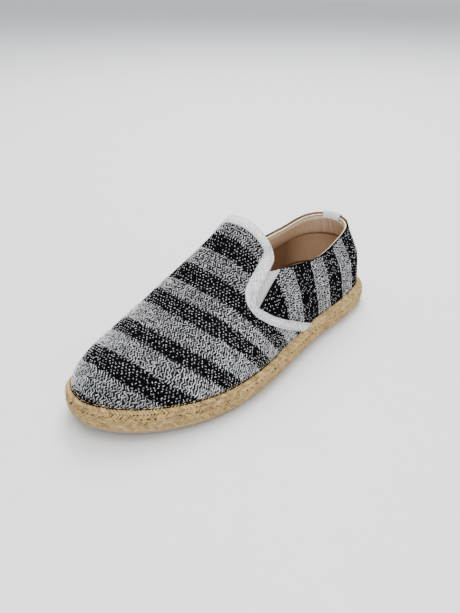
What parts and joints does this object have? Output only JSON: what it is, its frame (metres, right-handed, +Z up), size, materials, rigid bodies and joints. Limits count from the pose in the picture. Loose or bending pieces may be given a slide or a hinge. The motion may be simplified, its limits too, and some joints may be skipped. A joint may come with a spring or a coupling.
{
  "type": "espadrille",
  "caption": "Slip-on espadrille for a left foot: striped knit upper with white bound front, side elastics and a plaited jute sole.",
  "frame": {"origin": "on the floor, at the middle of the bottom of the shoe's bounding box", "axes": "+Z up, +Y towards the heel, +X towards the outer side of the foot, toe at -Y"},
  "size_m": [0.0942, 0.2606, 0.0868],
  "materials": {
    "knit": "black and white striped knit",
    "jute": "plaited natural jute",
    "rubber": "matt",
    "lining": "smooth tan",
    "tape": "woven white tape",
    "elastic": "ribbed elastic"
  },
  "bodies": {
    "root": {"outsole": "rubber", "jute_sole": "jute", "insole": "lining", "upper": "knit", "vamp_binding": "tape", "gore_outer": "elastic", "gore_inner": "elastic", "heel_tape": "tape"}
  },
  "joints": []
}
